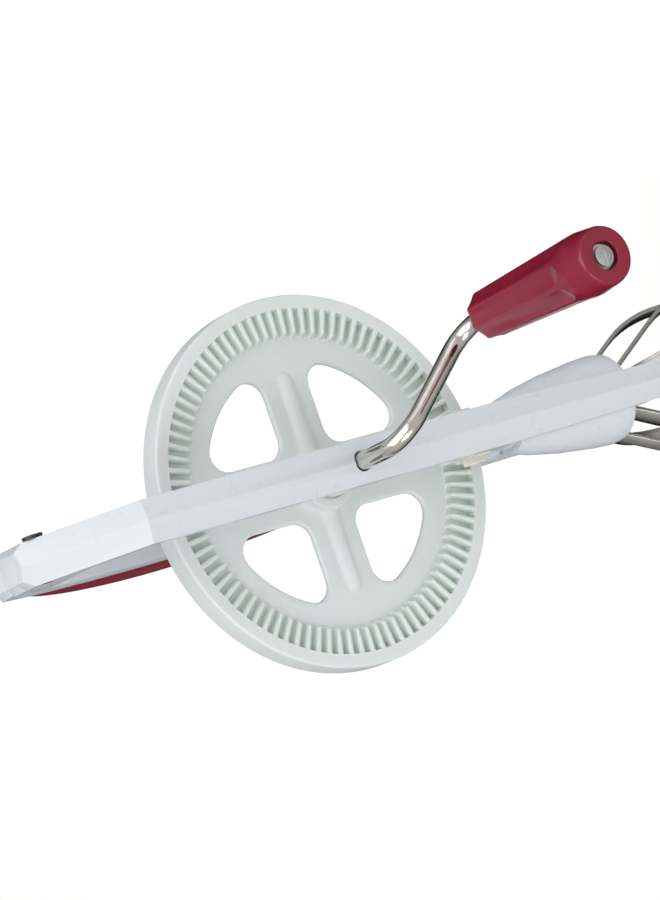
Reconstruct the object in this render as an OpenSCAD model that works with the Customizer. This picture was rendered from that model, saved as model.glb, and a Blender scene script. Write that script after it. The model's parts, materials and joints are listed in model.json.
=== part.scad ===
// Hand-crank rotary egg beater: two counter-rotating beaters driven by one face-toothed gear wheel.
// Millimetres. Origin at the centre of the gear wheel. The crank faces -Y, the beaters hang down -Z.

/* [Gear wheel] */
// Outer radius of the gear wheel
wheel_r = 52; // [51:0.5:53]
// Thickness of the wheel's rim
rim_t = 7.4; // [7:0.1:7.8]
// Thickness of the web between hub and teeth
web_t = 2; // [1.6:0.1:2.4]
// Number of tooth slots on each face of the wheel
wheel_teeth = 87; // [81:1:87]
// Inner radius of the ring of slots
slot_in_r = 41.2; // [40.8:0.1:41.6]
// Outer radius of the ring of slots
slot_out_r = 48.2; // [48:0.1:48.6]
// Width of one slot
slot_w = 1.8; // [1.75:0.05:1.85]
// Depth of one slot
slot_d = 2.5; // [2.3:0.1:2.6]
// Outer radius of the four windows in the web
window_out_r = 34; // [32:0.5:35]
// Corner radius of the windows
window_corner_r = 5; // [3:0.5:5.5]

/* [Pinions and shafts] */
// Number of teeth on each pinion
pinion_teeth = 14; // [14]
// Tip radius of the pinion teeth
pinion_tip_r = 7.8; // [7.6:0.1:7.8]
// Root radius of the pinion teeth
pinion_root_r = 5.9; // [5.6:0.1:5.9]
// Distance of each beater shaft from the wheel's face
shaft_off = 6.6; // [6.5:0.1:6.8]
// Radius of the beater shafts
shaft_r = 2; // [1.8:0.1:2.2]

/* [Front bar and handle] */
// Width of the front bar and of the rear arm
bar_w = 12; // [11:0.5:13]
// Height of the bar's ridge in front of the wheel's middle plane
ridge_y = 24.6; // [24.4:0.1:25]
// Height at which the straight part of the bar starts to bend
bend_z = 71; // [69:1:73]
// Bend of the bar towards the end of the handle
bend_angle = 46; // [44:1:48]
// Height of the end of the handle
handle_top_z = 96; // [95.5:0.5:97]
// Radius of the rear arm's inner curve
arm_bow_r = 117; // [116:0.5:118]
// Largest thickness of the soft grip
grip_t = 12; // [9:0.5:13]

/* [Crank] */
// Diameter of the crank rod
rod_d = 5; // [4.8:0.1:5.2]
// Distance between the wheel's axis and the knob's axis
crank_throw = 39.7; // [38:0.1:42]
// Bend radius of the rod's centre line
rod_bend_r = 9; // [8.5:0.5:9.5]
// Angle of the crank arm from straight down
crank_angle = 39.5; // [0:0.5:90]
// Length of the knob
knob_len = 56.5; // [54:0.5:60]
// Largest radius of the knob, at its collar
knob_collar_r = 8.8; // [8.6:0.1:9.2]

/* [Beaters] */
// Depth below the wheel's axis at which the strips leave their ferrule
loop_top_z = -92; // [-93:0.5:-91]
// Width of a beater strip
strip_w = 4; // [3:0.5:4.5]
// Thickness of a beater strip
strip_t = 1.2; // [1:0.1:1.4]
// Length of the straight flared stretch of a strip
flare_len = 30; // [26:1:31]
// Flare of the strips away from the shaft
flare_angle = 30; // [28:1:30]

/* [Hidden] */
$fn = 48;

// Colours
frame_colour = [0.87, 0.9, 0.9];
gear_colour = [0.86, 0.9, 0.88];
pinion_colour = [0.9, 0.89, 0.85];
red_colour = [0.55, 0.12, 0.18];
steel_colour = [0.72, 0.71, 0.69];
dark_colour = [0.15, 0.15, 0.16];

// Clearances
run_gap = 0.08;
side_gap = 0.3;
big = 300;

// Wheel
rim_half = rim_t / 2;
hub_r = 8.3;
hub_half = 5.2;
hub_pin_r = 1;
hub_chamfer = 0.8;
rim_chamfer = 0.6;
rim_slope = 2;
rib_r = 2.6;
rib_end_r = 28.5;
window_rib_gap = 7.5;
window_bar_gap = 9;

// Crank and knob
rod_r = rod_d / 2;
rod_rear_y = 21;
arm_plane_y = 45;
knob_start_y = 56.8;
knob_end_y = knob_start_y + knob_len;
knob_recess = 3;
knob_recess_r = 3.9;
knob_base_r = 6.9;
knob_neck_r = 8.6;
knob_end_r = 7.6;
flute_end = knob_len - 15.5;
flute_run_out = 7;
flute_count = 8;
flute_r = 14;
flute_base_depth = 0.55;
flute_end_depth = 0.75;
sleeve_wall = 1.1;
sleeve_r = rod_r + run_gap + sleeve_wall;
rod_head_r = rod_r + 0.35;
rod_head_len = 1.2;
rod_head_sunk = 0.7;
knob_washer_r = 3.7;
knob_washer_t = 0.8;
hub_washer_r = 6;
hub_washer_t = 1;

// Shafts
shaft_y = rim_half + shaft_off;
pinion_top_z = -41.9;
pinion_bottom_z = -47.4;
pinion_hub_r = 4.6;
pinion_hub_bottom_z = -55.7;
tooth_tip_half = 0.3;
tooth_root_half = 0.6;
shaft_top_z = -34.4;
upper_bearing_z = [-41.5, -35];
guard_top_z = -58;
guard_bottom_z = -95.5;
block_z = [-66, -56];
bush_wall = 1.4;
bush_flange = 1.6;
shaft_bush_r = shaft_r + run_gap + bush_wall;
bearing_boss_r = 6.2;
lug_half = 3.8;
ferrule_r = 4.6;
ferrule_z = [-93, -77];

// Frame
bar_half = bar_w / 2;
roof_h = 2.2;
bar_depth = 6.2;
bar_wall = 1.8;
guard_wall = 1.8;
bar_bottom_z = -108.3;
bar_edge_y = ridge_y - roof_h;
bar_back_y = ridge_y - bar_depth;
sweep_r = 12.75;
sweep_top_z = -99.5;
bush_r = rod_r + run_gap + bush_wall;
bush_end_y = 21.6;
rod_hole_r = rod_r + 0.35;
boss_half_z = 9;
taper_start_z = -50;
taper_angle = 1;
end_chamfer_h = 2.5;
arm_turn_z = 8;
bow_centre_z = 44.3;
bow_centre_y = bar_back_y - sqrt(pow(arm_bow_r, 2) - pow(bow_centre_z - arm_turn_z, 2));
handle_seam_y = 7;
back_bend_z = bend_z - bar_depth * tan(bend_angle / 2);
seam_low_z = back_bend_z + (handle_seam_y + bar_back_y) / tan(bend_angle);
joint_low_z = 80;
joint_screw_y = 1.5;
joint_screw_z = 90;
frame_screw_z = [-61, 90.5];
frame_screw_end_y = [13.8, 9.5];
web_half = 4.5;
guard_low_r = 12.8;
guard_high_r = 7.8;
screw_r = 1.5;
screw_head_r = 2.8;
screw_head_t = 1.1;
frame_head_t = 1.4;
frame_screw_seat_y = [ridge_y, arm_outer_y(frame_screw_z[1] + screw_head_r)];
slot_half = 0.35;

// Soft grip
grip_z = [-6, 84];
grip_pad_z = -9;
grip_rings = 28;
grip_side_points = 14;
grip_half = 8.2;
grip_end_half = 5.5;
grip_end_t = 0.8;
grip_gap = 0.05;

// Beater strips: one side of a loop as [radius, angle] bends after a straight flare
neck_bend_r = 10;
belly_r = 45;
tip_bend_r = 22;
loop_turn = 22.5;
strip_start_r = 3.2;
strip_in_ferrule = 9;
rivet_r = 1.2;
rivet_head_r = 2.2;
rivet_head_t = 0.8;
loop_stack = strip_t + 0.12;
rivet_head_gap = 0.12;
neck_drop = neck_bend_r * sin(flare_angle);
neck_out = neck_bend_r * (1 - cos(flare_angle));
flare_out = flare_len * sin(flare_angle);
flare_drop = flare_len * cos(flare_angle);
belly_drop = 2 * belly_r * sin(flare_angle);
tip_drop = tip_bend_r * (1 - sin(flare_angle));
loop_bottom_z = loop_top_z - neck_drop - flare_drop - belly_drop - tip_drop;
tip_half_w = strip_start_r + neck_out + flare_out - tip_bend_r * cos(flare_angle);

// Puts a cylinder along Y from y0 to y1
module rod_y(r, y0, y1) {
    translate([0, y0, 0]) rotate([-90, 0, 0]) cylinder(r = r, h = y1 - y0);
}

// Puts a cylinder along Z from z0 to z1
module rod_z(r, z0, z1) {
    translate([0, 0, z0]) cylinder(r = r, h = z1 - z0);
}

// A box from its low corner to its high corner
module box(low, high) {
    translate(low) cube(high - low);
}

// Turns a front part into the matching rear part
module to_rear() {
    mirror([0, 1, 0]) children();
}

// Points on an arc
function arc(centre, r, a0, a1, steps) =
    [for (i = [0 : steps]) centre + r * [cos(a0 + (a1 - a0) * i / steps), sin(a0 + (a1 - a0) * i / steps)]];

// ---------- Gear wheel ----------

// Outline of one window: a quarter sector with rounded corners
function window_outline() =
    let (
        c = window_corner_r,
        reach = window_out_r - c,
        hub_c = [window_bar_gap + c, window_rib_gap + c],
        far_rib = [sqrt(reach * reach - pow(window_rib_gap + c, 2)), window_rib_gap + c],
        far_bar = [window_bar_gap + c, sqrt(reach * reach - pow(window_bar_gap + c, 2))],
        a_rib = atan2(far_rib[1], far_rib[0]),
        a_bar = atan2(far_bar[1], far_bar[0])
    )
    concat(
        arc(hub_c, c, 180, 270, 5),
        arc(far_rib, c, -90, a_rib, 6),
        arc([0, 0], window_out_r, a_rib, a_bar, 8),
        arc(far_bar, c, a_bar, 180, 6)
    );

module window() {
    rotate([-90, 0, 0]) linear_extrude(big, center = true) polygon(window_outline());
}

// The ring of slots on the face that looks along -Y, open towards the hub
module slot_ring() {
    for (i = [0 : wheel_teeth - 1])
        rotate([0, i * 360 / wheel_teeth, 0])
            box([-slot_w / 2, -rim_half - 1, -slot_out_r], [slot_w / 2, slot_d - rim_half, rim_slope + 1 - slot_in_r]);
}

module gear_wheel() {
    color(gear_colour) difference() {
        union() {
            rotate([-90, 0, 0]) rotate_extrude($fn = 180) polygon([
                [0, -hub_half], [hub_r - hub_chamfer, -hub_half], [hub_r, hub_chamfer - hub_half],
                [hub_r, -web_t / 2], [slot_in_r - rim_slope, -web_t / 2], [slot_in_r, -rim_half],
                [wheel_r - rim_chamfer, -rim_half], [wheel_r, rim_chamfer - rim_half],
                [wheel_r, rim_half - rim_chamfer], [wheel_r - rim_chamfer, rim_half],
                [slot_in_r, rim_half], [slot_in_r - rim_slope, web_t / 2], [hub_r, web_t / 2],
                [hub_r, hub_half - hub_chamfer], [hub_r - hub_chamfer, hub_half], [0, hub_half]
            ]);
            for (side = [-1, 1]) rotate([0, 90 * side, 0]) {
                rod_z(rib_r, 0, rib_end_r);
                translate([0, 0, rib_end_r]) sphere(rib_r);
            }
        }
        slot_ring();
        to_rear() slot_ring();
        for (sx = [0, 1], sz = [0, 1]) mirror([sx, 0, 0]) mirror([0, 0, sz]) window();
        rod_y(rod_r, -big, big);
        rod_z(hub_pin_r, 0, hub_r + 1);
    }
}

// Steel cross pin that locks the hub to the rod
module hub_pin() {
    color(steel_colour) rod_z(hub_pin_r, rod_r, hub_r - 0.4);
}

// ---------- Crank ----------

// A bent rod: each step is [straight length, bend angle] with bends in one plane
module bent_rod(r, bend_r, steps, i = 0) {
    if (i < len(steps)) {
        cylinder(r = r, h = steps[i][0]);
        translate([0, 0, steps[i][0]]) {
            turn = steps[i][1];
            if (turn != 0) {
                side = sign(turn);
                translate([side * bend_r, 0, 0]) {
                    rotate([90, 0, 0]) rotate([0, 0, side > 0 ? 180 - turn : 0])
                        rotate_extrude(angle = abs(turn)) translate([bend_r, 0]) circle(r);
                    rotate([0, turn, 0]) translate([-side * bend_r, 0, 0])
                        bent_rod(r, bend_r, steps, i + 1);
                }
            }
        }
    }
}

module crank_rod() {
    first_run = rod_rear_y + arm_plane_y - rod_bend_r;
    last_run = knob_end_y - rod_head_sunk - (arm_plane_y + rod_bend_r);
    color(steel_colour) {
        translate([0, rod_rear_y, 0]) rotate([90, 0, 0]) rotate([0, 0, crank_angle - 90])
            bent_rod(rod_r, rod_bend_r, [[first_run, 90], [crank_throw - 2 * rod_bend_r, -90], [last_run, 0]]);
        at_knob() rod_y(rod_head_r, rod_head_sunk - knob_end_y, rod_head_sunk + rod_head_len - knob_end_y);
    }
}

// Moves from the wheel's axis to the knob's axis
module at_knob() {
    translate([crank_throw * sin(crank_angle), 0, -crank_throw * cos(crank_angle)]) children();
}

// Washer under the rod's peened end
module knob_washer() {
    y = rod_head_sunk + rod_head_len - knob_end_y;
    color(steel_colour) at_knob() difference() {
        rod_y(knob_washer_r, y, y + knob_washer_t);
        rod_y(rod_r, -big, big);
    }
}

// Cutter for one flute: it deepens along the knob and runs out on the collar
module flute_cutter() {
    tilt = atan((knob_neck_r - flute_end_depth - knob_base_r + flute_base_depth) / flute_end);
    translate([knob_neck_r - flute_end_depth + flute_r, 0, flute_end]) rotate([0, tilt, 0]) {
        translate([0, 0, -knob_len]) cylinder(r = flute_r, h = knob_len);
        sphere(flute_r);
    }
}

// Burgundy knob: shallow flutes on a cone that swells to a collar and narrows to the end face
module crank_knob() {
    color(red_colour) on_knob() difference() {
        rotate_extrude($fn = 96) polygon([
            [0, 0], [knob_base_r - 0.6, 0], [knob_base_r, 0.8], [knob_neck_r, flute_end],
            [knob_collar_r, flute_end + flute_run_out], [knob_end_r + 0.5, knob_len - 1], [knob_end_r - 0.2, knob_len],
            [0, knob_len]
        ]);
        for (i = [0 : flute_count - 1]) rotate([0, 0, i * 360 / flute_count]) flute_cutter();
        translate([0, 0, -1]) cylinder(r = sleeve_r, h = knob_len - knob_recess + 1);
        cylinder(r = rod_r + run_gap, h = knob_len + 1);
        translate([0, 0, knob_len - knob_recess]) cylinder(r = knob_recess_r, h = knob_recess + 1);
    }
}

// Turns a part drawn upwards on the Z axis into one on the knob's axis
module on_knob() {
    at_knob() translate([0, -knob_start_y, 0]) rotate([90, 0, 0]) children();
}

// Thin sleeve pressed into the knob, which turns on the rod
module knob_sleeve() {
    sleeve_len = knob_len - knob_recess;
    color(dark_colour) on_knob() difference() {
        cylinder(r = sleeve_r, h = sleeve_len);
        translate([0, 0, -1]) cylinder(r = rod_r + run_gap, h = sleeve_len + 2);
    }
}

// Washers between the hub and the two hub bushes
module thrust_washers() {
    color(steel_colour) {
        thrust_washer();
        to_rear() thrust_washer();
    }
}

module thrust_washer() {
    difference() {
        rod_y(hub_washer_r, -hub_half - hub_washer_t, -hub_half);
        rod_y(rod_r, -big, big);
    }
}

// ---------- Frame ----------

// Everything behind the two roof planes of a bar, inset by a wall and cut off at a half width
module ridge_section(half, inset) {
    edge_y = ridge_y - roof_h * half / bar_half;
    polygon([
        [-half, big], [-half, inset - edge_y], [0, inset - ridge_y], [half, inset - edge_y], [half, big]
    ]);
}

module straight_ridge(half, inset, z0, z1) {
    translate([0, 0, z0]) linear_extrude(z1 - z0) ridge_section(half, inset);
}

module bent_ridge(inset) {
    translate([0, -ridge_y, bend_z]) rotate([-bend_angle, 0, 0]) translate([0, ridge_y, -bend_z])
        straight_ridge(bar_w, inset, bend_z - big, bend_z + big);
}

// A shape drawn in Y and Z, as wide as the given width
module side_profile(points, width) {
    rotate([90, 0, 90]) linear_extrude(width, center = true) polygon(points);
}

// The open channel in the bar's back, between its solid stretches
module bar_channel(z0, z1) {
    straight_ridge(bar_half - bar_wall, bar_wall, z0, z1);
}

module bent_channel() {
    intersection() {
        bar_channel(boss_half_z, handle_top_z + 1);
        bent_ridge(bar_wall);
    }
}

// Cuts the corners off the end of the handle
module handle_end_chamfers() {
    for (side = [-1, 1]) translate([side * bar_half, 0, handle_top_z - end_chamfer_h]) rotate([0, -side * 40, 0])
        box([side < 0 ? -20 : 0, -big / 2, -30], [side < 0 ? 0 : 20, big / 2, 30]);
}

module handle_screw_hole() {
    translate([0, joint_screw_y, joint_screw_z]) rotate([0, 90, 0]) cylinder(r = screw_r, h = big, center = true);
}

// Room for the strips as they turn below the guard
module strip_sweep() {
    translate([0, -shaft_y, 0]) rod_z(sweep_r, bar_bottom_z - 1, sweep_top_z);
}

// Narrows the lower end of the bar
module low_end_taper() {
    for (side = [-1, 1]) translate([side * bar_half, 0, taper_start_z]) rotate([0, side * taper_angle, 0])
        box([side < 0 ? -20 : 0, -big / 2, -big / 2], [side < 0 ? 0 : 20, big / 2, 0]);
}

// The straight stretch below a height, with solid lengths at the hub and at the bearings
module straight_bar(z1) {
    difference() {
        intersection() {
            straight_ridge(bar_half, 0, bar_bottom_z, z1);
            box([-bar_w, -big, -big], [bar_w, -bar_back_y, big]);
        }
        bar_channel(bar_bottom_z - 1, block_z[0]);
        bar_channel(upper_bearing_z[1] + 3, -boss_half_z);
        low_end_taper();
    }
}

module front_bar() {
    color(frame_colour) difference() {
        intersection() {
            straight_ridge(bar_half, 0, bar_bottom_z, handle_top_z);
            bent_ridge(0);
            side_profile([
                [-big, -big], [-bar_back_y, -big], [-bar_back_y, back_bend_z],
                [handle_seam_y, seam_low_z], [handle_seam_y, big], [-big, big]
            ], 2 * bar_w);
        }
        bar_channel(bar_bottom_z - 1, block_z[0]);
        bar_channel(upper_bearing_z[1] + 3, -boss_half_z);
        bent_channel();
        low_end_taper();
        rod_y(bush_r, -bush_end_y, 0);
        rod_y(rod_hole_r, -big, 0);
        strip_sweep();
        handle_screw_hole();
        handle_end_chamfers();
    }
}

// The curved stretch of the rear arm, between two radii from its centre
module arm_bow(r0, r1, half0, half1, z0, z1) {
    intersection() {
        translate([0, bow_centre_y, bow_centre_z]) rotate([0, 90, 0])
            rotate_extrude($fn = 360) polygon([[r0, -half0], [r0, half0], [r1, half1], [r1, -half1]]);
        box([-big / 2, 0, z0], [big / 2, big / 2, z1]);
    }
}

module rear_arm() {
    color(frame_colour) difference() {
        union() {
            to_rear() straight_bar(arm_turn_z);
            box([0.3 - bar_half, bar_back_y + 1, grip_pad_z], [bar_half - 0.3, ridge_y, arm_turn_z]);
            difference() {
                arm_bow(arm_bow_r, arm_bow_r + bar_depth, 5.6, bar_half, arm_turn_z - 1, handle_top_z);
                to_rear() box([-big / 2, -big / 2, 0], [big / 2, -ridge_y, arm_turn_z]);
            }
        }
        rod_y(bush_r, 0, bush_end_y);
        to_rear() strip_sweep();
        frame_screw_holes();
        handle_end_chamfers();
    }
}

module frame_screw_holes() {
    for (i = [0, 1]) translate([0, 0, frame_screw_z[i]]) {
        rod_y(screw_r, 8, big);
        rod_y(screw_head_r + 0.2, frame_screw_seat_y[i], big);
    }
}

// Wedge that closes the handle between the bar and the arm
module joint_wedge() {
    low_y = handle_seam_y - (seam_low_z - joint_low_z) * tan(bend_angle);
    difference() {
        side_profile([
            [low_y, joint_low_z], [handle_seam_y, seam_low_z], [handle_seam_y, handle_top_z],
            [bar_edge_y, handle_top_z], [bar_edge_y, joint_low_z]
        ], bar_w);
        arm_bow(arm_bow_r, 2 * arm_bow_r, big, big, 0, big);
    }
}

// Tongue that fills the end of the bar's channel
module joint_tongue() {
    intersection() {
        bent_channel();
        box([-bar_half, -big, joint_low_z + 1], [bar_half, handle_seam_y, handle_top_z]);
    }
}

module handle_joint_block() {
    color(frame_colour) difference() {
        union() {
            joint_wedge();
            joint_tongue();
        }
        handle_screw_hole();
        frame_screw_holes();
        handle_end_chamfers();
    }
}

// Slotted cross screw at the end of the handle
module handle_screw() {
    color(dark_colour) translate([0, joint_screw_y, joint_screw_z]) rotate([0, 90, 0]) difference() {
        union() {
            translate([0, 0, -bar_half]) cylinder(r = screw_r, h = bar_w);
            translate([0, 0, bar_half]) cylinder(r = screw_head_r, h = screw_head_t);
        }
        box([-screw_head_r, -slot_half, bar_half + 0.4], [screw_head_r, slot_half, bar_half + 2]);
        box([-slot_half, -screw_head_r, bar_half + 0.4], [slot_half, screw_head_r, bar_half + 2]);
    }
}

// Pan-head screws put in from behind
module frame_screws() {
    color(steel_colour) for (i = [0, 1]) translate([0, 0, frame_screw_z[i]]) difference() {
        union() {
            rod_y(screw_r, frame_screw_end_y[i], frame_screw_seat_y[i]);
            rod_y(screw_head_r, frame_screw_seat_y[i], frame_screw_seat_y[i] + frame_head_t);
        }
        box([-screw_head_r, frame_screw_seat_y[i] + 0.8, -slot_half], [screw_head_r, big, slot_half]);
    }
}

// Y of the rear arm's outer face at a height
function arm_outer_y(z) = bow_centre_y + sqrt(pow(arm_bow_r + bar_depth, 2) - pow(z - bow_centre_z, 2));

// Bell around the front pinion's shaft, open to the rear
module gear_guard() {
    w = guard_wall;
    color(frame_colour) difference() {
        translate([0, -shaft_y, 0]) rotate_extrude($fn = 96) polygon([
            [pinion_hub_r + 0.5, guard_top_z], [guard_high_r, guard_top_z], [guard_high_r + 1.6, guard_top_z - 6],
            [guard_low_r - 1.6, guard_top_z - 16], [guard_low_r - 0.3, guard_top_z - 28],
            [guard_low_r, guard_bottom_z + 4], [guard_low_r - 0.5, guard_bottom_z + 1],
            [guard_low_r - 1.4, guard_bottom_z], [guard_low_r - 0.6 - w, guard_bottom_z],
            [guard_low_r - w, guard_bottom_z + 4], [guard_low_r - 0.3 - w, guard_top_z - 28],
            [guard_low_r - 1.6 - w, guard_top_z - 16], [guard_high_r + 1.6 - w, guard_top_z - 6],
            [guard_high_r - w, guard_top_z - w], [pinion_hub_r + 0.5, guard_top_z - w]
        ]);
        box([-big / 2, 0, -big], [big / 2, big, big]);
        difference() {
            box([-bar_half, -big, -big], [bar_half, -bar_back_y, big]);
            low_end_taper();
        }
        box([-web_half, -big, block_z[0]], [web_half, big, block_z[1]]);
        translate([0, -shaft_y, 0]) rod_z(bearing_boss_r, block_z[0], block_z[1]);
    }
}

// Block that joins the two arms and holds both shafts
module bearing_block() {
    color(frame_colour) difference() {
        union() {
            box([-web_half, -bar_back_y, block_z[0]], [web_half, bar_back_y, block_z[1]]);
            for (side = [-1, 1]) translate([0, side * shaft_y, 0]) rod_z(bearing_boss_r, block_z[0], block_z[1]);
        }
        for (side = [-1, 1]) translate([0, side * shaft_y, 0]) rod_z(shaft_bush_r, -big, big);
        frame_screw_holes();
    }
}

module lower_shaft_bushes() {
    color(pinion_colour) for (side = [-1, 1]) translate([0, side * shaft_y, 0]) difference() {
        rod_z(shaft_bush_r, block_z[0], block_z[1] + 0.1);
        rod_z(shaft_r + run_gap, -big, big);
    }
}

// Lugs that carry the upper ends of the shafts
module upper_shaft_bearings() {
    color(frame_colour) {
        upper_bearing();
        to_rear() upper_bearing();
    }
}

module upper_bearing() {
    difference() {
        union() {
            box([-lug_half, -bar_back_y, upper_bearing_z[0]], [lug_half, -shaft_y, upper_bearing_z[1]]);
            translate([0, -shaft_y, 0]) rod_z(lug_half, upper_bearing_z[0], upper_bearing_z[1]);
        }
        translate([0, -shaft_y, 0]) rod_z(shaft_r + run_gap, -big, big);
    }
}

module hub_bush() {
    y0 = hub_half + hub_washer_t + side_gap;
    color(pinion_colour) difference() {
        union() {
            rod_y(bush_r, -bush_end_y, -y0);
            rod_y(bush_r + bush_flange, -bar_back_y, -y0);
        }
        rod_y(rod_r + run_gap, -big, big);
    }
}

module front_hub_bush() {
    hub_bush();
}

module rear_hub_bush() {
    to_rear() hub_bush();
}

// Soft grip: a crescent on the rear arm's outer face, lofted from half-round sections
// Fullness of the grip along its length, 0 at the ends and 1 at the belly
function grip_fill(t) = pow(sin(180 * pow(t, 0.9)), 0.55);

// Y of the face that the grip lies on
function grip_base_y(z) = max(arm_outer_y(z), ridge_y) + grip_gap;

function grip_ring(t) =
    let (
        z = grip_z[0] + (grip_z[1] - grip_z[0]) * t,
        thick = grip_end_t + (grip_t - grip_end_t) * grip_fill(t),
        half = grip_end_half + (grip_half - grip_end_half) * grip_fill(t)
    )
    [for (i = [0 : grip_side_points])
        let (b = 180 * i / grip_side_points)
        [half * cos(b), grip_base_y(z) + thick * pow(sin(b), 0.75), z]];

module handle_grip() {
    ring_len = grip_side_points + 1;
    points = [for (i = [0 : grip_rings]) each grip_ring(i / grip_rings)];
    sides = [for (i = [0 : grip_rings - 1], j = [0 : ring_len - 1])
        let (a = i * ring_len + j, b = i * ring_len + (j + 1) % ring_len)
        [a, a + ring_len, b + ring_len, b]];
    first_cap = [[for (j = [0 : ring_len - 1]) j]];
    last_cap = [[for (j = [ring_len - 1 : -1 : 0]) grip_rings * ring_len + j]];
    color(red_colour) polyhedron(points, concat(sides, first_cap, last_cap), convexity = 4);
}

// ---------- Beaters: drawn on the Z axis, then put on each shaft ----------

module on_front_shaft() {
    translate([0, -shaft_y, 0]) children();
}

module on_rear_shaft() {
    translate([0, shaft_y, 0]) children();
}

// One tooth points at +Y
function pinion_outline() =
    [for (i = [0 : pinion_teeth - 1], p = [[pinion_root_r, -tooth_root_half], [pinion_tip_r, -tooth_tip_half],
            [pinion_tip_r, tooth_tip_half], [pinion_root_r, tooth_root_half]])
        let (a = 90 - i * 360 / pinion_teeth)
        [p[0] * cos(a) + p[1] * sin(a), p[0] * sin(a) - p[1] * cos(a)]];

module pinion() {
    color(pinion_colour) difference() {
        union() {
            translate([0, 0, pinion_bottom_z]) linear_extrude(pinion_top_z - pinion_bottom_z) polygon(pinion_outline());
            rod_z(pinion_hub_r, pinion_hub_bottom_z, pinion_top_z - 1);
        }
        rod_z(shaft_r, -big, big);
    }
}

module shaft() {
    color(steel_colour) rod_z(shaft_r, ferrule_z[0] + 3, shaft_top_z);
}

// Crimped sleeve that holds the four strips on the end of the shaft
module ferrule() {
    color(steel_colour) difference() {
        rotate_extrude() polygon([
            [0, ferrule_z[0]], [ferrule_r, ferrule_z[0]], [ferrule_r, ferrule_z[1] - 4],
            [ferrule_r - 1.6, ferrule_z[1]], [0, ferrule_z[1]]
        ]);
        rod_z(shaft_r, ferrule_z[0] + 3, 0);
        outer_loop();
        inner_loop();
    }
}

// One face of half a loop, from the ferrule to the tip: side is 1 for the outer face, -1 for the inner one
function half_loop(side) =
    let (
        x0 = strip_start_r,
        z0 = loop_top_z,
        half = side * strip_t / 2,
        flare_end = [x0 + neck_out + flare_out, z0 - neck_drop - flare_drop],
        belly_c = flare_end - belly_r * [cos(flare_angle), sin(flare_angle)],
        tip_c = flare_end - [0, belly_drop] + tip_bend_r * [-cos(flare_angle), sin(flare_angle)]
    )
    concat(
        [[x0 + half, z0 + strip_in_ferrule]],
        arc([x0 + neck_bend_r, z0], neck_bend_r - half, 180, 180 + flare_angle, 5),
        arc(belly_c, belly_r + half, flare_angle, -flare_angle, 12),
        arc(tip_c, tip_bend_r + half, -flare_angle, -90, 9)
    );

function flipped(points) = [for (i = [len(points) - 1 : -1 : 0]) [-points[i][0], points[i][1]]];

function reversed(points) = [for (i = [len(points) - 1 : -1 : 0]) points[i]];

module strip_loop(lift) {
    color(steel_colour) difference() {
        translate([0, 0, lift]) rotate([90, 0, 0]) linear_extrude(strip_w, center = true) polygon(concat(
            half_loop(1), flipped(half_loop(1)), reversed(flipped(half_loop(-1))), reversed(half_loop(-1))
        ));
        rod_z(rivet_r, -big, loop_bottom_z + 4);
    }
}

module outer_loop() {
    strip_loop(0);
}

module inner_loop() {
    rotate([0, 0, 90]) strip_loop(loop_stack);
}

module tip_rivet() {
    low = loop_bottom_z - strip_t / 2;
    high = loop_bottom_z + loop_stack + strip_t / 2 + rivet_head_gap;
    color(steel_colour) {
        rod_z(rivet_r, low - rivet_head_t, high + rivet_head_t);
        rod_z(rivet_head_r, low - rivet_head_t, low);
        rod_z(rivet_head_r, high, high + rivet_head_t);
    }
}

module front_pinion() { on_front_shaft() pinion(); }
module front_shaft() { on_front_shaft() shaft(); }
// The shafts turn opposite ways, so at this equal turn their strips stand 45 degrees out of step
// and pass between each other
module front_ferrule() { on_front_shaft() rotate([0, 0, loop_turn]) ferrule(); }
module front_outer_loop() { on_front_shaft() rotate([0, 0, loop_turn]) outer_loop(); }
module front_inner_loop() { on_front_shaft() rotate([0, 0, loop_turn]) inner_loop(); }
module front_tip_rivet() { on_front_shaft() tip_rivet(); }
module rear_pinion() { on_rear_shaft() rotate([0, 0, 180]) pinion(); }
module rear_shaft() { on_rear_shaft() shaft(); }
module rear_ferrule() { on_rear_shaft() rotate([0, 0, loop_turn]) ferrule(); }
module rear_outer_loop() { on_rear_shaft() rotate([0, 0, loop_turn]) outer_loop(); }
module rear_inner_loop() { on_rear_shaft() rotate([0, 0, loop_turn]) inner_loop(); }
module rear_tip_rivet() { on_rear_shaft() tip_rivet(); }

front_bar();
gear_guard();
rear_arm();
handle_joint_block();
bearing_block();
handle_grip();
handle_screw();
frame_screws();
front_hub_bush();
rear_hub_bush();
upper_shaft_bearings();
lower_shaft_bushes();
gear_wheel();
crank_rod();
hub_pin();
thrust_washers();
knob_washer();
crank_knob();
knob_sleeve();
front_pinion();
front_shaft();
front_ferrule();
front_outer_loop();
front_inner_loop();
front_tip_rivet();
rear_pinion();
rear_shaft();
rear_ferrule();
rear_outer_loop();
rear_inner_loop();
rear_tip_rivet();
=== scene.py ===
"""Looks of a hand-crank rotary egg beater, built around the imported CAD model. Metres, +Z up."""

import json
import math
import random

import bmesh
import bpy
from mathutils import Matrix, Vector


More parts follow.
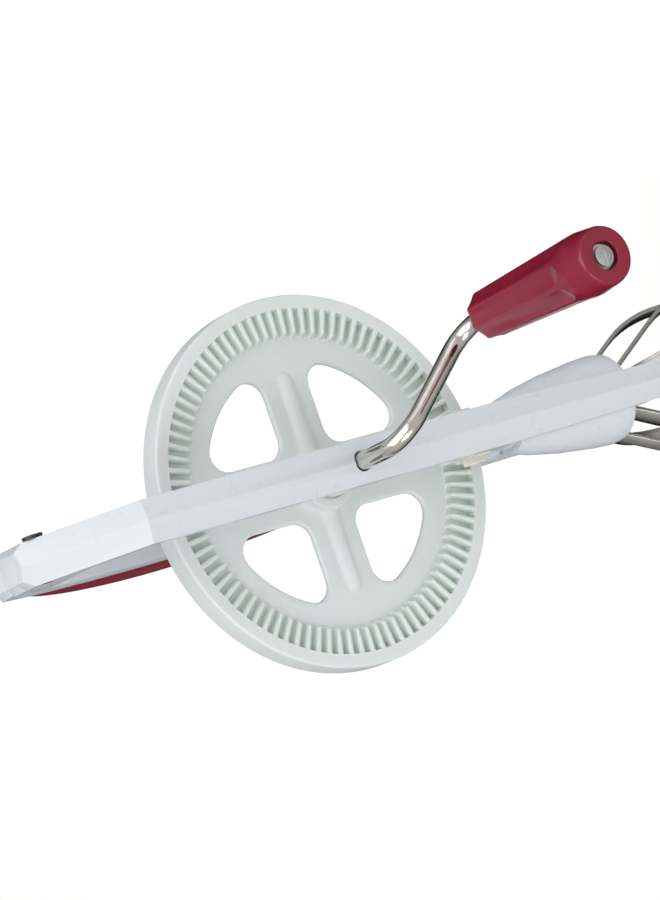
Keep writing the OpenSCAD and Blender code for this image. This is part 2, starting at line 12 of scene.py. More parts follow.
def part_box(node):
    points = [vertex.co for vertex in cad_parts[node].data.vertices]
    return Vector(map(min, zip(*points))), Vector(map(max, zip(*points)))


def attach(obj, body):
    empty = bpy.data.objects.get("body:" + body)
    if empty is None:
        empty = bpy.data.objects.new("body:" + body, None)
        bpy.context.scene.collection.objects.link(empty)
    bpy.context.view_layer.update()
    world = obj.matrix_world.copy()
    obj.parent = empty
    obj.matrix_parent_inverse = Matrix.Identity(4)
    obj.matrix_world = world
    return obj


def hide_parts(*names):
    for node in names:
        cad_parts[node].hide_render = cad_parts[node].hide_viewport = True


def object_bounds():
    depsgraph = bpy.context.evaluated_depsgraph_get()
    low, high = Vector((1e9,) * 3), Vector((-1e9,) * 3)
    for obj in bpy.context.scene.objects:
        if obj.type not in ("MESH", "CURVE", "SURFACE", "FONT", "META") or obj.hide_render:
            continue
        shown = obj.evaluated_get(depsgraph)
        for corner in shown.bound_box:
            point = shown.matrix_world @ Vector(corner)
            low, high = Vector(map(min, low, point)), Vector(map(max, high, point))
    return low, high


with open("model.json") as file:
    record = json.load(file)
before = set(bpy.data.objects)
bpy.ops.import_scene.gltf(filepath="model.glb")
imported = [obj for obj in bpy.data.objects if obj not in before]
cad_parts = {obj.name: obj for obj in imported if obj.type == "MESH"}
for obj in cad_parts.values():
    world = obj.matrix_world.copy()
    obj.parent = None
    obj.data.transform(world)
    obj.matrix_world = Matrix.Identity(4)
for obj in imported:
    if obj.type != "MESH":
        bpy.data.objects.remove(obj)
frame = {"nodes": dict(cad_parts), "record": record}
MM = 0.001


def plain_box():
    return [[float(x) for x in corner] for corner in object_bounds()]


cad_box = plain_box()
body_of = {n: b for b, members in frame["record"]["behaviour"]["bodies"].items() for n in members}
slot_of = {p["node"]: p["material_slot"] for p in frame["record"]["subparts"]}


# ---------- Shader nodes ----------

def new_material(name):
    """A new material, with its node tree and its shader."""
    material = bpy.data.materials.new(name)
    material.use_nodes = True
    tree = material.node_tree
    shader = tree.nodes["Principled BSDF"]
    return material, tree, shader


def add(tree, kind, **values):
    """Adds a node; values name its own settings, or its inputs where it has no such setting."""
    node = tree.nodes.new(kind)
    for key, value in values.items():
        if hasattr(node, key):
            setattr(node, key, value)
        else:
            node.inputs[key.replace("_", " ")].default_value = value
    return node


def coordinates(tree, stretch=(1, 1, 1)):
    """Object coordinates in millimetres, each times a factor."""
    place = add(tree, "ShaderNodeTexCoord")
    scaled = add(tree, "ShaderNodeMapping", Scale=[factor / MM for factor in stretch])
    tree.links.new(place.outputs["Object"], scaled.inputs["Vector"])
    return scaled.outputs["Vector"]


def noise(tree, vector, scale, detail, rough=0.5):
    """A noise texture's value; its coordinates are in millimetres, so scale is in waves per millimetre."""
    node = add(tree, "ShaderNodeTexNoise", Scale=scale, Detail=detail, Roughness=rough)
    tree.links.new(vector, node.inputs["Vector"])
    return node.outputs["Fac"]


def ranged(tree, value, low, high, from_low=0.3, from_high=0.7):
    """Maps a texture value to the range low to high."""
    node = add(tree, "ShaderNodeMapRange", From_Min=from_low, From_Max=from_high, To_Min=low, To_Max=high)
    tree.links.new(value, node.inputs["Value"])
    return node.outputs["Result"]


def blended(tree, factor, first, second):
    """Mixes two colours, each a socket or three numbers."""
    node = add(tree, "ShaderNodeMix", data_type="RGBA")
    tree.links.new(factor, node.inputs["Factor"])
    for name, colour in (("A", first), ("B", second)):
        socket = [s for s in node.inputs if s.name == name and s.type == "RGBA"][0]
        if isinstance(colour, bpy.types.NodeSocket):
            tree.links.new(colour, socket)
        else:
            socket.default_value = (*colour, 1)
    return [s for s in node.outputs if s.type == "RGBA"][0]


def bumped(tree, shader, *bumps):
    """Chains bumps, each a texture value, a strength and a height in metres."""
    normal = None
    for value, strength, height in bumps:
        node = add(tree, "ShaderNodeBump", Strength=strength, Distance=height)
        tree.links.new(value, node.inputs["Height"])
        if normal:
            tree.links.new(normal, node.inputs["Normal"])
        normal = node.outputs["Normal"]
    tree.links.new(normal, shader.inputs["Normal"])


def painted_shading_mask(tree, distance):
    """0 on open faces and 1 deep in grooves, from ambient occlusion; it masks the painted shading of
    grooves.
    """
    node = add(tree, "ShaderNodeAmbientOcclusion", samples=8, Distance=distance)
    return ranged(tree, node.outputs["AO"], 1.0, 0.0, from_low=0.25, from_high=0.95)


# ---------- Materials ----------

def moulded_plastic(name, colour, shade, roughness, painted_groove_shading=None, subsurface=0.0, mottle=0.035, ripple=0.18):
    """Injection-moulded plastic: slow colour drift, flow ripple, fine grain, and painted shading in grooves,
    a colour put where the occlusion mask finds them shaded.
    """
    material, tree, shader = new_material(name)
    place = coordinates(tree)
    drift = ranged(tree, noise(tree, place, scale=0.035, detail=2.0), 0, 1, from_low=0.35, from_high=0.65)
    base = blended(tree, drift, colour, shade)
    # Painted shading: grooves found by ambient occlusion get a colour of their own, darker as painted shade,
    # or on the gear wheel lighter and greener as painted light
    if painted_groove_shading:
        base = blended(tree, painted_shading_mask(tree, 4 * MM), base, painted_groove_shading)
    tree.links.new(base, shader.inputs["Base Color"])
    patches = noise(tree, place, scale=0.25, detail=4.0)
    rough = ranged(tree, patches, roughness - mottle, roughness + mottle)
    tree.links.new(rough, shader.inputs["Roughness"])
    shader.inputs["IOR"].default_value = 1.49
    shader.inputs["Subsurface Weight"].default_value = subsurface
    shader.inputs["Subsurface Radius"].default_value = (0.9, 1.0, 0.95)
    shader.inputs["Subsurface Scale"].default_value = 1.5 * MM
    flow = noise(tree, place, scale=0.06, detail=1.0)
    grain = noise(tree, place, scale=4.5, detail=2.0)
    bumped(tree, shader, (flow, ripple, 1.2 * MM), (grain, 0.05, 0.2 * MM))
    return material


def bright_metal(name, colour, shade, roughness, grain, grain_depth, dents, dent_scale):
    """Plated or polished metal with drawn grain, faint stains and shallow tool marks."""
    material, tree, shader = new_material(name)
    place = coordinates(tree)
    lines = noise(tree, coordinates(tree, grain), scale=1.0, detail=4.0, rough=0.6)
    stains = noise(tree, place, scale=0.18, detail=3.0)
    base = blended(tree, ranged(tree, stains, 0, 1, from_low=0.4, from_high=0.7), colour, shade)
    tree.links.new(base, shader.inputs["Base Color"])
    shader.inputs["Metallic"].default_value = 1.0
    rough = ranged(tree, stains, roughness * 0.75, roughness * 1.5)
    tree.links.new(rough, shader.inputs["Roughness"])
    marks = noise(tree, place, scale=dent_scale, detail=2.0)
    bumped(tree, shader, (lines, grain_depth, 0.1 * MM), (marks, dents, 0.4 * MM))
    return material


# The groove colour of each plastic is painted shading in its hollows: painted shade, darker, on most parts,
# and painted light, lighter and greener, in the gear wheel's slots
PLASTICS = {
    "frame_plastic": dict(
        colour=(0.565, 0.595, 0.635), shade=(0.545, 0.585, 0.615), painted_groove_shading=(0.50, 0.56, 0.56),
        roughness=0.30, subsurface=0.12, ripple=0.10),
    # Gear wheel: its slots are painted lighter and greener, painted light that stands in for light through
    # the thin web and offsets their shade
    "gear_plastic": dict(
        colour=(0.585, 0.63, 0.635), shade=(0.57, 0.62, 0.61), painted_groove_shading=(0.63, 0.71, 0.66),
        roughness=0.42, subsurface=0.2, ripple=0.10),
    "bearing_plastic": dict(
        colour=(0.70, 0.69, 0.63), shade=(0.67, 0.66, 0.60), painted_groove_shading=(0.52, 0.50, 0.45),
        roughness=0.45, subsurface=0.1),
    "red_plastic": dict(
        colour=(0.215, 0.008, 0.028), shade=(0.19, 0.007, 0.024), painted_groove_shading=(0.08, 0.003, 0.009),
        roughness=0.2, mottle=0.05, ripple=0.06),
    "soft_grip": dict(
        colour=(0.20, 0.007, 0.020), shade=(0.17, 0.006, 0.018), painted_groove_shading=(0.10, 0.004, 0.010),
        roughness=0.38, mottle=0.05, ripple=0.08),
    "dark_plastic": dict(
        colour=(0.018, 0.018, 0.020), shade=(0.026, 0.026, 0.028), roughness=0.45),
}
METALS = {
    "plated_rod": dict(
        colour=(0.68, 0.65, 0.60), shade=(0.58, 0.555, 0.52), roughness=0.13,
        grain=(2.0, 2.0, 2.0), grain_depth=0.08, dents=0.10, dent_scale=0.7),
    "beater_steel": dict(
        colour=(0.60, 0.59, 0.57), shade=(0.50, 0.49, 0.47), roughness=0.2,
        grain=(6.0, 6.0, 0.12), grain_depth=0.12, dents=0.08, dent_scale=0.3),
    "fastener_steel": dict(
        colour=(0.80, 0.80, 0.79), shade=(0.58, 0.58, 0.57), roughness=0.28,
        grain=(3.0, 3.0, 3.0), grain_depth=0.25, dents=0.5, dent_scale=0.9),
}
materials = {name: moulded_plastic(name, **look) for name, look in PLASTICS.items()}
materials.update({name: bright_metal(name, **look) for name, look in METALS.items()})


# ---------- Mesh helpers ----------

# Corners nearer than this, in metres, are joined
TOUCHING = 2e-6

# Angles in degrees: faces flatter than the first are joined, edges sharper than the second are rounded
FLAT_ANGLE, EDGE_ANGLE = 0.6, 28
EDGE_STEPS = 3


def link(thing):
    """Puts a new object into the scene."""
    bpy.context.scene.collection.objects.link(thing)
    return thing


def dressed(piece, slot):
    """Gives a piece only the material of a slot."""
    piece.data.materials.clear()
    piece.data.materials.append(materials[slot])


def smooth_faces(mesh):
    for face in mesh.polygons:
        face.use_smooth = True


def joined_form(node):
    """A CAD node's mesh, ready for editing, with the corners of its triangles joined."""
    form = bmesh.new()
    form.from_mesh(frame["nodes"][node].data)
    bmesh.ops.remove_doubles(form, verts=form.verts, dist=TOUCHING)
    return form


def finished_mesh(form, name):
    """Turns an edited form into a mesh."""
    mesh = bpy.data.meshes.new(name)
    form.to_mesh(mesh)
    form.free()
    return mesh


def closed_mesh(name, points, faces):
    """A mesh of points and faces whose faces all look outward."""
    mesh = bpy.data.meshes.new(name)
    mesh.from_pydata(points, [], faces)
    form = bmesh.new()
    form.from_mesh(mesh)
    bpy.data.meshes.remove(mesh)
    bmesh.ops.recalc_face_normals(form, faces=form.faces)
    return finished_mesh(form, name)


def band(low, high, count):
    """Faces between two rings of count points, which start at the indices low and high."""
    faces = []
    for j in range(count):
        k = (j + 1) % count
        faces.append((low + j, low + k, high + k, high + j))
    return faces


def ring_mesh(name, rings):
    """A closed tube of rings, each a list of points, whose last ring joins the first."""
    count = len(rings[0])
    points = [point for ring in rings for point in ring]
    faces = []
    for i in range(len(rings)):
        faces += band(i * count, (i + 1) % len(rings) * count, count)
    return closed_mesh(name, points, faces)


def new_piece(mesh, node):
    """Links a mesh as a smooth piece that stands for a CAD node."""
    piece = link(bpy.data.objects.new(node + "_look", mesh))
    dressed(piece, slot_of[node])
    smooth_faces(mesh)
    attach(piece, body_of[node])
    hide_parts(node)
    return piece


def soft_edged(node, width):
    """A copy of a CAD node with its flat faces joined up and its edges rounded."""
    form = joined_form(node)
    bmesh.ops.dissolve_limit(form, angle_limit=math.radians(FLAT_ANGLE), verts=form.verts, edges=form.edges)
    piece = new_piece(finished_mesh(form, node + "_look"), node)
    bevel = piece.modifiers.new("edges", "BEVEL")
    bevel.width = width
    bevel.segments = EDGE_STEPS
    bevel.limit_method = "ANGLE"
    bevel.angle_limit = math.radians(EDGE_ANGLE)
    bevel.use_clamp_overlap = True
    bevel.harden_normals = True
    bevel.miter_outer = "MITER_ARC"


def eased(x, low, high):
    """0 below low, 1 above high, smooth between."""
    t = min(1.0, max(0.0, (x - low) / (high - low)))
    return t * t * (3 - 2 * t)


# ---------- Gear wheel, in millimetres from its centre ----------

# R is a radius, HALF a distance from the middle plane, and ROUND a drop at a rounded edge
TEETH = 87
RIM_R, RIM_HALF, RIM_SIDE_HALF, WEB_HALF = 52.0, 3.7, 2.9, 1.0
HUB_R, HUB_HALF, BORE_R = 8.3, 5.2, 2.5
HUB_ROUND_FROM, HUB_ROUND_TO, HUB_ROUND = 7.6, HUB_R + 0.3, 0.45
HUB_FILLET, HUB_FILLET_REACH = 1.3, 0.7
RIB_R, RIB_END, RIB_WIDEN, RIB_WIDE_TO = 2.6, 28.5, 0.3, 18
RIB_FILLET = 0.25
LAND_IN, LAND_FULL = 40.1, 41.5
LAND_ROUND, LAND_ROUND_REACH = 0.35, 0.45
SLOT_HALF, SLOT_IN, SLOT_OUT, SLOT_DEPTH = 0.9, 41.2, 48.2, 2.5
SLOT_LEAN, SLOT_END_LEAN = 0.1, 0.3
RIM_ROUND_FROM, RIM_ROUND = 51.2, 0.6
SHARP_ANGLE = 50

# Places across one slot, from its middle, and one in the middle of the land beside it
SLOT_STEPS = (-1.25, -1.05, -0.95, -0.82, 0.0, 0.82, 0.95, 1.05, 1.25)
LAND_STEP = SLOT_HALF * 2

# Radii of the rings of points on each face
HUB_RINGS = (BORE_R, 4.5, HUB_ROUND_FROM, 8.0, 8.22, HUB_R, 8.45, 8.8, 9.6)
WEB_RINGS = (*range(11, 28, 2), RIB_END, 30, 31, 32, 34, 36, 37, 38, 39, 39.7)
LAND_RINGS = (LAND_IN, 40.3, 40.55, 40.8, 41.05, 41.3, LAND_FULL, 42, 43, 45, 47)
OUTER_RINGS = (47.85, 48.05, SLOT_OUT, 48.4, 48.8, 50, RIM_ROUND_FROM, 51.6, 51.85, 51.97)
WHEEL_RADII = HUB_RINGS + WEB_RINGS + LAND_RINGS + OUTER_RINGS

# A window's corner nearest the hub, its corner radius and its outer arc
WINDOW_X, WINDOW_Z = 9.0, 7.5
WINDOW_CORNER, WINDOW_OUT = 5.0, 34.0
CORNER_STEPS, ARC_STEPS = 6, 12

# Half of a window cutter: distance from the web's middle plane, and growth there
CUTTER_LEVELS = ((0.45, 0.0), (WEB_HALF - 0.15, 0.35), (WEB_HALF + 0.05, 0.8), (6, 0.8))


def wheel_angles(radius):
    """Angles of one ring, close together at the edges of the slots."""
    squeeze = min(1.0, radius / SLOT_IN) / radius
    pitch = 2 * math.pi / TEETH
    angles = []
    for tooth in range(TEETH):
        middle = tooth * pitch - math.pi / 2
        angles += [middle + step * squeeze for step in SLOT_STEPS] + [middle + pitch / 2]
    return angles


def soft_max(first, second):
    """The larger of two heights, with a fillet where they meet."""
    return RIB_FILLET * math.log(math.exp(first / RIB_FILLET) + math.exp(second / RIB_FILLET))


def rib_height(x, z):
    """Half height of the two half-round ribs, wider towards the hub and with ball ends."""
    past = max(0.0, abs(x) - RIB_END)
    widen = 1 + RIB_WIDEN * (1 - eased(abs(x), HUB_R, RIB_WIDE_TO))
    away = math.hypot(past, z / widen)
    return math.sqrt(max(0.0, RIB_R ** 2 - away ** 2))


def slotted(height, radius, step):
    """A height on the toothed land, lowered in the slots and rounded beside them."""
    outer_end = 1 - eased(radius, SLOT_OUT - SLOT_END_LEAN, SLOT_OUT)
    inside = (1 - eased(abs(step), SLOT_HALF - SLOT_LEAN, SLOT_HALF + SLOT_LEAN)) * outer_end
    beside = (1 - eased(abs(step), SLOT_HALF, SLOT_HALF + LAND_ROUND_REACH)) * outer_end
    floor = min(height, RIM_HALF - SLOT_DEPTH)
    rounded = LAND_ROUND * beside * (1 - inside) * eased(radius, LAND_IN, LAND_FULL)
    return height + (floor - height) * inside - rounded


def wheel_half(radius, angle, step):
    """Distance of the wheel's face from its middle plane."""
    if radius <= HUB_R:
        return HUB_HALF - HUB_ROUND * eased(radius, HUB_ROUND_FROM, HUB_ROUND_TO)
    rib = rib_height(radius * math.cos(angle), radius * math.sin(angle))
    land = WEB_HALF + (RIM_HALF - WEB_HALF) * eased(radius, LAND_IN, LAND_FULL)
    height = soft_max(land, rib) + HUB_FILLET * math.exp(-(radius - HUB_R) / HUB_FILLET_REACH)
    if LAND_IN < radius <= SLOT_OUT:
        height = slotted(height, radius, step)
    past = max(0.0, radius - RIM_ROUND_FROM) / (RIM_R - RIM_ROUND_FROM)
    return height - RIM_ROUND * past ** 3


def wheel_ring(radius, side):
    """Points round one face, at one radius; side is -1 for the front face and 1 for the rear one."""
    ring = []
    for angle, step in zip(wheel_angles(radius), (*SLOT_STEPS, LAND_STEP) * TEETH):
        half = wheel_half(radius, angle, step)
        ring.append((radius * math.cos(angle) * MM, side * half * MM, radius * math.sin(angle) * MM))
    return ring


def side_ring(y):
    """Points round the rim's outer side."""
    return [(RIM_R * math.cos(a) * MM, y * MM, RIM_R * math.sin(a) * MM) for a in wheel_angles(RIM_R)]


def arc(centre, radius, start, end, steps):
    """Points of an arc from start to end, in degrees."""
    points = []
    for i in range(steps + 1):
        angle = math.radians(start + (end - start) * i / steps)
        points.append((centre[0] + radius * math.cos(angle), centre[1] + radius * math.sin(angle)))
    return points


def window_loop(grow):
    """Outline of one window, grown outward."""
    reach = WINDOW_OUT - WINDOW_CORNER
    near_x, near_z = WINDOW_X + WINDOW_CORNER, WINDOW_Z + WINDOW_CORNER
    far_x, far_z = math.sqrt(reach ** 2 - near_z ** 2), math.sqrt(reach ** 2 - near_x ** 2)
    first = math.degrees(math.atan2(near_z, far_x))
    last = math.degrees(math.atan2(far_z, near_x))
    corner = WINDOW_CORNER + grow
    loop = arc((near_x, near_z), corner, 180, 270, CORNER_STEPS)
    loop += arc((far_x, near_z), corner, -90, first, CORNER_STEPS)
    loop += arc((0, 0), WINDOW_OUT + grow, first, last, ARC_STEPS)[1:-1]
    return loop + arc((near_x, far_z), corner, last, 180, CORNER_STEPS)


def window_cutter(sign_x, sign_z):
    """A plug whose waist is the window and whose ends flare, so that the cut edges come out round."""
    levels = [(-y, grow) for y, grow in reversed(CUTTER_LEVELS)] + list(CUTTER_LEVELS)
    points = []
    for y, grow in levels:
        points += [(sign_x * x * MM, y * MM, sign_z * z * MM) for x, z in window_loop(grow)]
    count = len(points) // len(levels)
    faces = []
    for i in range(len(levels) - 1):
        faces += band(i * count, (i + 1) * count, count)
    faces.append(tuple(range(count)))
    faces.append(tuple(range(len(points) - count, len(points))))
    return link(bpy.data.objects.new("cutter", closed_mesh("cutter", points, faces)))


def cut(piece, cutters):
    """Applies exact booleans, and removes the cutters."""
    for cutter in cutters:
        step = piece.modifiers.new("cut", "BOOLEAN")
        step.object = cutter
        step.operation = "DIFFERENCE"
        step.solver = "EXACT"
    bpy.context.view_layer.update()
    graph = bpy.context.evaluated_depsgraph_get()
    made = bpy.data.meshes.new_from_object(piece.evaluated_get(graph))
    piece.modifiers.clear()
    piece.data = made
    for cutter in cutters:
        bpy.data.objects.remove(cutter)


def gear_wheel():
    """The wheel as rings of points from one bore edge round the rim to the other, cut by four windows."""
    rings = [wheel_ring(radius, -1) for radius in WHEEL_RADII]
    rings += [side_ring(y) for y in (-RIM_SIDE_HALF, 0.0, RIM_SIDE_HALF)]
    rings += [wheel_ring(radius, 1) for radius in reversed(WHEEL_RADII)]
    piece = new_piece(ring_mesh("gear_wheel_look", rings), "gear_wheel")
    cut(piece, [window_cutter(sign_x, sign_z) for sign_x in (-1, 1) for sign_z in (-1, 1)])
    dressed(piece, slot_of["gear_wheel"])
    smooth_faces(piece.data)
    piece.data.set_sharp_from_angle(angle=math.radians(SHARP_ANGLE))


# ---------- Knob, in millimetres along its axis from its base ----------

FLATS = 8
POINTS_PER_FLAT = 26

# Radius of the body before it is fluted, as (place, radius)
KNOB_PROFILE = (
    (0, 6.5), (0.25, 6.75), (0.8, 6.9), (41, 8.6), (48, 8.8), (55.2, 8.15), (56.2, 7.85), (56.5, 7.5),
)

# Flutes are hollows of radius FLUTE_R that lift off the body past FLUTE_END, by ARCH_RISE times the square
FLUTE_END, FLUTE_R = 41.0, 14.0
FLUTE_DEPTH_BASE, FLUTE_DEPTH_END = 0.56, 0.76
ARCH_RISE = 0.05

# The ridges are blunted by about CREASE / 2, and the whole side lies SURFACE_INSET inside the CAD knob's
CREASE = 0.08
SURFACE_INSET = 0.02

RECESS_R, RECESS_DEPTH = 3.9, 3.0
KNOB_BORE_R = 3.7


def profile_at(profile, where):
    """Linear interpolation in a list of (place, value)."""
    for (a, low), (b, high) in zip(profile, profile[1:]):
        if where <= b:
            return low + (high - low) * (where - a) / (b - a)
    return profile[-1][1]


def knob_radius(along, angle):
    """Radius of the knob's side, with hollow flutes that end in arches and narrow ridges between them."""
    turn = 2 * math.pi / FLATS
    off = (angle + turn / 2) % turn - turn / 2
    body = profile_at(KNOB_PROFILE, along)
    past = max(0.0, along - FLUTE_END)
    depth = FLUTE_DEPTH_BASE + (FLUTE_DEPTH_END - FLUTE_DEPTH_BASE) * min(1.0, along / FLUTE_END)
    centre = profile_at(KNOB_PROFILE, min(along, FLUTE_END)) + FLUTE_R - depth + ARCH_RISE * past ** 2
    fluted = centre * math.cos(off) - math.sqrt(FLUTE_R ** 2 - (centre * math.sin(off)) ** 2)
    return min(body, fluted) - CREASE / 2 * math.exp(-abs(body - fluted) / CREASE) - SURFACE_INSET


def knob_axis():
    """The two coordinates of the knob's axis, which runs along Y."""
    low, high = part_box("crank_knob")
    return (low.x + high.x) / 2, (low.z + high.z) / 2


def crank_knob():
    """The fluted side, the recessed end and the bore, as rings along the knob's axis."""
    low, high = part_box("crank_knob")
    centre_x, centre_z = knob_axis()
    length = (high.y - low.y) / MM
    count = FLATS * POINTS_PER_FLAT
    angles = [2 * math.pi * i / count for i in range(count)]

    def ring(along, radius_at):
        return [(centre_x + radius_at(a) * math.cos(a) * MM, high.y - along * MM,
                 centre_z + radius_at(a) * math.sin(a) * MM) for a in angles]

    # Rings stand close together where the flutes end in arches, and at both rounded ends
    stations = [0, 0.25, 0.8]
    stations += [2 + 1.3 * i for i in range(30)]
    stations += [FLUTE_END + 0.5 * i for i in range(17)]
    stations += [50, 51.5, 53, 54.4, 55.2, 55.7, 56.2, length]
    recess = ((length, 7.0), (length - 0.05, 4.5), (length - 0.15, RECESS_R + 0.1),
              (length - 0.4, RECESS_R), (length - RECESS_DEPTH, RECESS_R))
    bore = ((length - RECESS_DEPTH - 0.1, KNOB_BORE_R), (0.3, KNOB_BORE_R), (0, KNOB_BORE_R + 0.2), (0, 6.0))
    rings = [ring(along, lambda a, along=along: knob_radius(along, a)) for along in stations]
    rings += [ring(along, lambda a, radius=radius: radius) for along, radius in recess + bore]
    new_piece(ring_mesh("crank_knob_look", rings), "crank_knob")


# ---------- Rod's end and grip ----------

# Millimetres: the dome's radius and height, the depth of its hammer marks, and how far its back is let in
PEEN_R, PEEN_HEIGHT, PEEN_DENT, PEEN_SUNK = 2.75, 0.32, 0.05, 0.3
PEEN_ROWS, PEEN_SPOKES = 9, 40


def hammered_end():
    """The rod's peened end: a low dome with hammer facets, sunk in the knob."""
    end_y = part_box("crank_rod")[0].y
    centre_x, centre_z = knob_axis()
    random.seed(7)
    points = []
    for i in range(1, PEEN_ROWS + 1):
        away = PEEN_R * MM * i / PEEN_ROWS
        for j in range(PEEN_SPOKES):
            angle = 2 * math.pi * j / PEEN_SPOKES
            dent = random.uniform(-PEEN_DENT, PEEN_DENT) * (i < PEEN_ROWS)
            height = PEEN_HEIGHT * (1 - (i / PEEN_ROWS) ** 2) + dent
            points.append((centre_x + away * math.cos(angle), end_y - MM * height,
                           centre_z + away * math.sin(angle)))
    last_row = len(points) - PEEN_SPOKES
    middle, back = len(points), len(points) + 1
    points.append((centre_x, end_y - PEEN_HEIGHT * MM, centre_z))
    points.append((centre_x, end_y + PEEN_SUNK * MM, centre_z))
    faces = []
    for i in range(PEEN_ROWS - 1):
        faces += band(i * PEEN_SPOKES, (i + 1) * PEEN_SPOKES, PEEN_SPOKES)
    for j in range(PEEN_SPOKES):
        k = (j + 1) % PEEN_SPOKES
        faces.append((middle, k, j))
        faces.append((last_row + j, last_row + k, back))
    piece = link(bpy.data.objects.new("rod_peened_end", closed_mesh("rod_peened_end", points, faces)))
    dressed(piece, "fastener_steel")
    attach(piece, "wheel")


def handle_grip():
    """The grip's CAD surface with its triangles joined to quads and subdivided."""
    form = joined_form("handle_grip")
    bmesh.ops.join_triangles(form, faces=form.faces, angle_face_threshold=math.radians(35),
                             angle_shape_threshold=math.radians(50))
    piece = new_piece(finished_mesh(form, "handle_grip_look"), "handle_grip")
    smooth = piece.modifiers.new("smooth", "SUBSURF")
    smooth.levels = smooth.render_levels = 2


# ---------- All pieces ----------

# Width of the rounded edges, in millimetres
EDGES = {
    "front_bar": 0.7, "rear_arm": 0.6, "handle_joint_block": 0.3, "bearing_block": 0.4,
    "gear_guard": 0.35, "upper_shaft_bearings": 0.3, "front_pinion": 0.15, "rear_pinion": 0.15,
    "front_hub_bush": 0.3, "rear_hub_bush": 0.3, "lower_shaft_bushes": 0.2,
    "handle_screw": 0.2, "frame_screws": 0.2,
    "knob_washer": 0.15, "thrust_washers": 0.15, "front_tip_rivet": 0.25, "rear_tip_rivet": 0.25,
    "front_ferrule": 0.3, "rear_ferrule": 0.3,
    "front_outer_loop": 0.25, "front_inner_loop": 0.25, "rear_outer_loop": 0.25, "rear_inner_loop": 0.25,
}
BUILT = ("gear_wheel", "crank_knob", "handle_grip")
gear_wheel()
crank_knob()
hammered_end()
handle_grip()
for node, width in EDGES.items():
    soft_edged(node, width * MM)
for node, part in frame["nodes"].items():
    if node not in EDGES and node not in BUILT:
        dressed(part, slot_of[node])


# ---------- Floor, light and camera ----------

FLOOR_DROP, FLOOR_REACH = 0.001, 30.0

# The room's light by direction: ROOM_LEAN points to its bright side, ROOM_LEVELS are (place, level)
BACKDROP = (0.93, 0.95, 0.97, 1)
ROOM_STRENGTH = 0.62
ROOM_LEAN = (-0.06, -0.40, 0.35)
ROOM_LEVELS = ((0.0, 0.02), (0.17, 0.05), (0.33, 0.42), (0.52, 0.85), (0.85, 1.05))
ROOM_TINT = (1.0, 0.99, 0.97)

# Lens and sensor in millimetres, distances in metres
LENS, SENSOR, NEAREST = 233, 36, 0.05
DISTANCE = 1.568
AIM_RIGHT, AIM_UP = 0.00080, 0.0076
VIEW_RIGHT = Vector((-0.3232, -0.5155, -0.7936))
VIEW_UP = Vector((0.9423, -0.2531, -0.2193))


def soft_floor():
    """A large pale floor just under the beaters."""
    low = cad_box[0][2] - FLOOR_DROP
    corners = [(FLOOR_REACH * x, FLOOR_REACH * y, low) for x, y in ((-1, -1), (1, -1), (1, 1), (-1, 1))]
    mesh = bpy.data.meshes.new("floor")
    mesh.from_pydata(corners, [], [(0, 1, 2, 3)])
    floor = link(bpy.data.objects.new("floor", mesh))
    material, tree, shader = new_material("floor_paint")
    grain = noise(tree, coordinates(tree), scale=0.02, detail=3.0)
    tree.links.new(blended(tree, grain, (0.93, 0.93, 0.93), (0.90, 0.90, 0.90)), shader.inputs["Base Color"])
    shader.inputs["Roughness"].default_value = 0.9
    shader.inputs["Specular IOR Level"].default_value = 0.1
    mesh.materials.append(material)
    floor.visible_glossy = False


def softbox(name, place, size, power):
    """A lamp panel that faces the origin."""
    light = bpy.data.lights.new(name, "AREA")
    light.shape = "RECTANGLE"
    light.size, light.size_y = size
    light.energy = power
    holder = link(bpy.data.objects.new(name, light))
    holder.location = place
    holder.rotation_euler = (-Vector(place)).to_track_quat("-Z", "Y").to_euler()


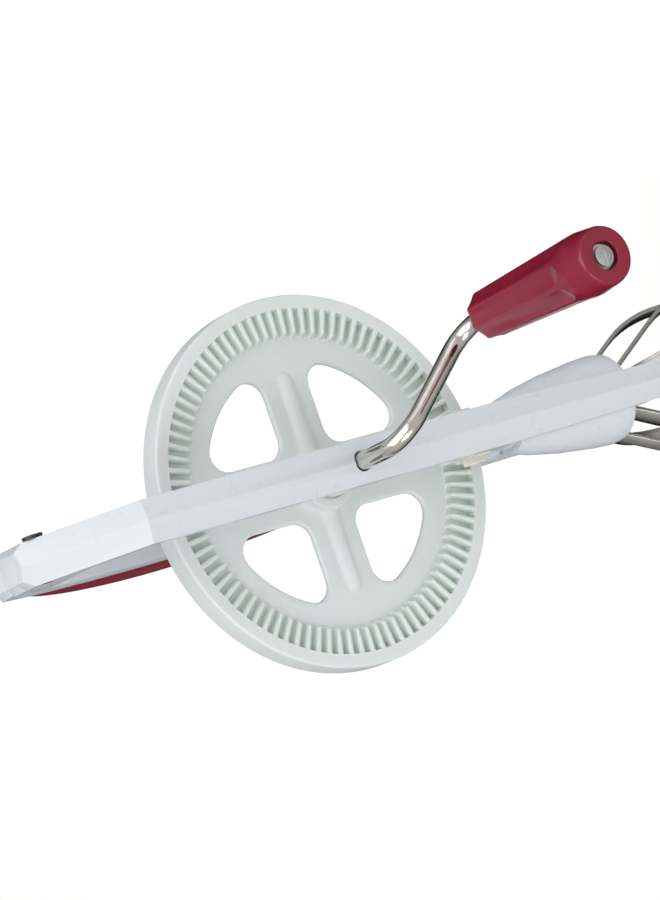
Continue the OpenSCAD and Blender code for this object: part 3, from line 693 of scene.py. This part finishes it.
def room(world):
    """A pale backdrop for the camera, and for all other rays a room bright in front and dim behind."""
    world.use_nodes = True
    tree = world.node_tree
    backdrop = tree.nodes["Background"]
    backdrop.inputs["Color"].default_value = BACKDROP
    place = add(tree, "ShaderNodeTexCoord")
    lean = add(tree, "ShaderNodeVectorMath", operation="DOT_PRODUCT")
    lean.inputs[1].default_value = ROOM_LEAN
    tree.links.new(place.outputs["Generated"], lean.inputs[0])
    shift = add(tree, "ShaderNodeMath")
    shift.inputs[1].default_value = 0.5
    tree.links.new(lean.outputs["Value"], shift.inputs[0])
    ramp = add(tree, "ShaderNodeValToRGB")
    while len(ramp.color_ramp.elements) < len(ROOM_LEVELS):
        ramp.color_ramp.elements.new(0.5)
    for element, (where, level) in zip(ramp.color_ramp.elements, ROOM_LEVELS):
        element.position = where
        element.color = (*[level * part for part in ROOM_TINT], 1)
    tree.links.new(shift.outputs[0], ramp.inputs[0])
    lit = add(tree, "ShaderNodeBackground", Strength=ROOM_STRENGTH)
    tree.links.new(ramp.outputs[0], lit.inputs["Color"])
    path = add(tree, "ShaderNodeLightPath")
    mix = add(tree, "ShaderNodeMixShader")
    tree.links.new(path.outputs["Is Camera Ray"], mix.inputs[0])
    tree.links.new(lit.outputs[0], mix.inputs[1])
    tree.links.new(backdrop.outputs[0], mix.inputs[2])
    tree.links.new(mix.outputs[0], tree.nodes["World Output"].inputs["Surface"])


def studio():
    """The room, three softboxes, and colours shown without a film look."""
    scene = bpy.context.scene
    scene.world = scene.world or bpy.data.worlds.new("studio")
    room(scene.world)
    softbox("overhead", place=(0.3, -0.4, 1.9), size=(2.2, 2.2), power=34)
    softbox("right_side", place=(1.7, -0.9, 0.5), size=(1.2, 1.4), power=3)
    softbox("left_side", place=(-1.4, -1.3, 0.7), size=(1.0, 1.4), power=13)
    scene.view_settings.view_transform = "Standard"
    scene.view_settings.look = "None"


def camera():
    """A long lens in front of the wheel, aimed close to the middle of its front face."""
    back = VIEW_RIGHT.cross(VIEW_UP).normalized()
    front_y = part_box("gear_wheel")[0].y
    aim = Vector((0, front_y, 0)) + AIM_RIGHT * VIEW_RIGHT + AIM_UP * VIEW_UP
    lens = bpy.data.cameras.new("camera")
    lens.sensor_fit = "VERTICAL"
    lens.sensor_height = SENSOR
    lens.lens = LENS
    lens.clip_start = NEAREST
    holder = link(bpy.data.objects.new("camera", lens))
    turn = Matrix((VIEW_RIGHT, VIEW_UP, back)).transposed()
    holder.matrix_world = Matrix.Translation(aim + DISTANCE * back) @ turn.to_4x4()
    bpy.context.scene.camera = holder


soft_floor()
studio()
camera()
